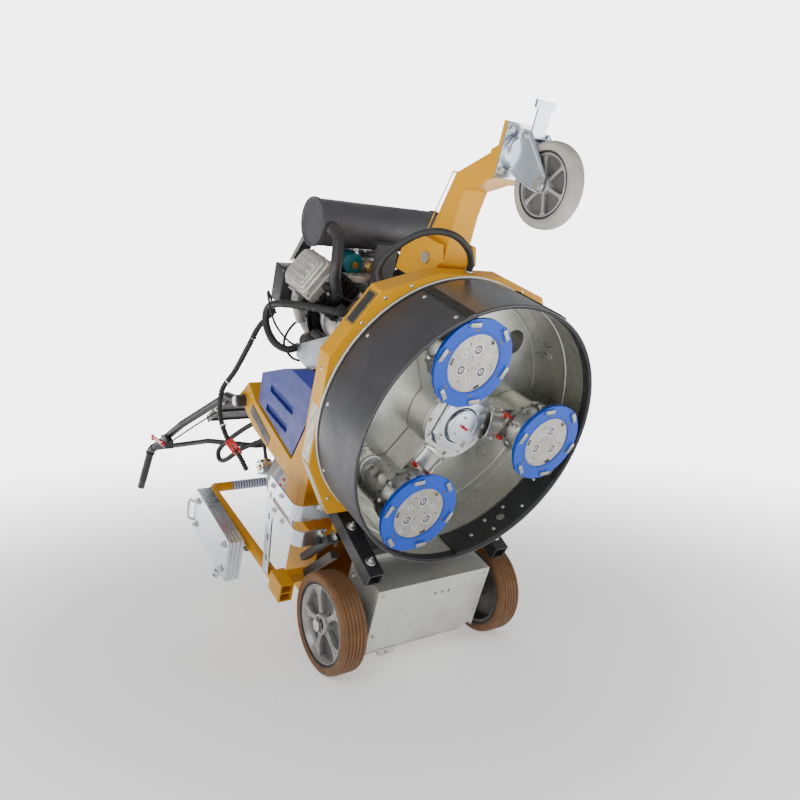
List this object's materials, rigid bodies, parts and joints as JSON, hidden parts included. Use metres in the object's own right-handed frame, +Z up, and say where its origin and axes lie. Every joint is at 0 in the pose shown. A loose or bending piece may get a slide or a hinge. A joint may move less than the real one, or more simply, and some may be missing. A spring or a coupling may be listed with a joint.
{
  "type": "concrete floor grinder",
  "caption": "Walk-behind planetary concrete grinder with a round drum head, spinning abrasive discs, gas engine, transport castor and handle, tipped back to show its discs.",
  "frame": {"origin": "on the floor, under the middle of the overall box, with the machine tipped back on its two main wheels and its service prop", "axes": "+Z up, +X to the right seen from the front, +Y towards the handle; the main axle runs along X; the head axis lies in the YZ plane, 67.4 degrees from +Z towards +Y"},
  "size_m": [0.9676, 1.9608, 1.5143],
  "materials": {
    "yellow_paint": "gloss powder coat",
    "black_paint": "satin powder coat",
    "charcoal_skirt": "satin",
    "zinc": "zinc plated",
    "steel": "machined",
    "aluminium": "cast",
    "dark_cast": "painted",
    "blue_ring": "gloss",
    "blue_tank": "moulded",
    "brown_tyre": "solid rubber",
    "grey_tyre": "solid rubber",
    "rubber": "matte",
    "black_plastic": "moulded",
    "teal_plastic": "moulded",
    "red_plastic": "moulded",
    "brass": "turned",
    "grey_paint": "gloss"
  },
  "bodies": {
    "machine": {"base_housing": "yellow_paint", "drum_pan": "zinc", "rim_liner": "rubber", "head_bearing": "dark_cast", "chassis_frame": "black_paint", "axle_box": "zinc", "main_axle": "steel", "handle_pins": "steel", "rear_body": "yellow_paint", "water_tank": "blue_tank", "blank_plaques": "black_plastic", "mount_rails": "zinc", "crankcase": "aluminium", "cylinders": "dark_cast", "valve_covers": "aluminium", "blower_housing": "black_plastic", "muffler": "black_paint", "exhaust_pipes": "black_paint", "air_filter": "teal_plastic", "breather_hose": "rubber", "hoses_and_loom": "rubber", "rear_tray": "yellow_paint", "rear_cage": "yellow_paint", "weight_plates": "zinc", "gas_cylinder": "grey_paint", "gas_valve": "brass", "straps_and_guards": "zinc", "service_prop": "black_paint", "arm_bracket": "yellow_paint"},
    "skirt": {"skirt_band": "charcoal_skirt", "front_guard": "steel"},
    "carrier": {"planet_carrier": "zinc", "carrier_cover": "zinc", "hub_cap": "zinc", "grease_nipples": "red_plastic", "carrier_belts": "rubber"},
    "disc_a": {"disc_holder_1": "zinc", "disc_plate_1": "aluminium", "grinding_ring_1": "blue_ring"},
    "disc_b": {"disc_holder_2": "zinc", "disc_plate_2": "aluminium", "grinding_ring_2": "blue_ring"},
    "disc_c": {"disc_holder_3": "zinc", "disc_plate_3": "aluminium", "grinding_ring_3": "blue_ring"},
    "crank": {"flywheel": "steel"},
    "wheel_left": {"tyre_left": "brown_tyre", "rim_left": "aluminium"},
    "wheel_right": {"tyre_right": "brown_tyre", "rim_right": "aluminium"},
    "cap": {"tank_cap": "black_plastic"},
    "gas_knob": {"valve_knob": "red_plastic"},
    "transport_arm": {"castor_arm": "yellow_paint"},
    "castor": {"castor_fork": "zinc"},
    "castor_wheel": {"castor_tyre": "grey_tyre", "castor_rim": "aluminium"},
    "brake": {"brake_pedal": "zinc"},
    "handle": {"handle_frame": "black_paint", "console_panel": "black_paint"},
    "throttle": {"throttle_lever": "red_plastic"}
  },
  "joints": [
    {"name": "carrier_spin", "type": "hinge", "parent": "machine", "child": "carrier", "pos_m": [0, -0.56252, 0.72937], "axis": [0, 0.923, 0.3847], "continuous": true},
    {"name": "disc_a_spin", "type": "hinge", "parent": "carrier", "child": "disc_a", "pos_m": [0.25272, -0.59888, 0.68665], "axis": [0, 0.923, 0.3847], "continuous": true},
    {"name": "disc_b_spin", "type": "hinge", "parent": "carrier", "child": "disc_b", "pos_m": [-0.10432, -0.69777, 0.9239], "axis": [0, 0.923, 0.3847], "continuous": true},
    {"name": "disc_c_spin", "type": "hinge", "parent": "carrier", "child": "disc_c", "pos_m": [-0.1484, -0.52937, 0.51986], "axis": [0, 0.923, 0.3847], "continuous": true},
    {"name": "crank_spin", "type": "hinge", "parent": "machine", "child": "crank", "pos_m": [0, -0.03564, 1.02482], "axis": [0, 0.923, 0.3847], "continuous": true},
    {"name": "wheel_left_spin", "type": "hinge", "parent": "machine", "child": "wheel_left", "pos_m": [-0.285, -0.3236, 0.14967], "axis": [1, 0, 0], "continuous": true},
    {"name": "wheel_right_spin", "type": "hinge", "parent": "machine", "child": "wheel_right", "pos_m": [0.285, -0.3236, 0.14967], "axis": [1, 0, 0], "continuous": true},
    {"name": "tank_cap_turn", "type": "hinge", "parent": "machine", "child": "cap", "pos_m": [-0.12, 0.14747, 0.81946], "axis": [0, 0.923, 0.3847], "range_deg": [0, 90]},
    {"name": "gas_knob_turn", "type": "hinge", "parent": "machine", "child": "gas_knob", "pos_m": [-0.06, 0.44089, 0.49757], "axis": [0, 0.923, 0.3847], "range_deg": [0, 300]},
    {"name": "arm_fold", "type": "hinge", "parent": "machine", "child": "transport_arm", "pos_m": [0, -0.48835, 1.18823], "axis": [-1, 0, 0], "range_deg": [0, 80]},
    {"name": "castor_swivel", "type": "hinge", "parent": "transport_arm", "child": "castor", "pos_m": [0, -0.79222, 1.41042], "axis": [0, 0.923, 0.3847], "continuous": true},
    {"name": "castor_wheel_spin", "type": "hinge", "parent": "castor", "child": "castor_wheel", "pos_m": [0, -0.88044, 1.32056], "axis": [1, 0, 0], "continuous": true},
    {"name": "brake_pedal_press", "type": "hinge", "parent": "castor", "child": "brake", "pos_m": [0, -0.83461, 1.43934], "axis": [1, 0, 0], "range_deg": [0, 14], "stiffness_Nm_per_rad": 3, "springref_deg": -5.73},
    {"name": "handle_tilt", "type": "hinge", "parent": "machine", "child": "handle", "pos_m": [0, 0.24793, 0.75517], "axis": [1, 0, 0], "range_deg": [-6, 30]},
    {"name": "throttle_pull", "type": "hinge", "parent": "handle", "child": "throttle", "pos_m": [-0.446, 0.72357, 0.56015], "axis": [1, 0, 0], "range_deg": [0, 18], "stiffness_Nm_per_rad": 2, "springref_deg": -6.88},
    {"name": "skirt_float", "type": "slide", "parent": "machine", "child": "skirt", "axis": [0, 0.923, 0.3847], "range_m": [0, 0.008]}
  ],
  "couplings": [
    {"joint": "disc_a_spin", "follows": "carrier_spin", "ratio": -2},
    {"joint": "disc_b_spin", "follows": "carrier_spin", "ratio": -2},
    {"joint": "disc_c_spin", "follows": "carrier_spin", "ratio": -2},
    {"joint": "crank_spin", "follows": "carrier_spin", "ratio": 4}
  ]
}
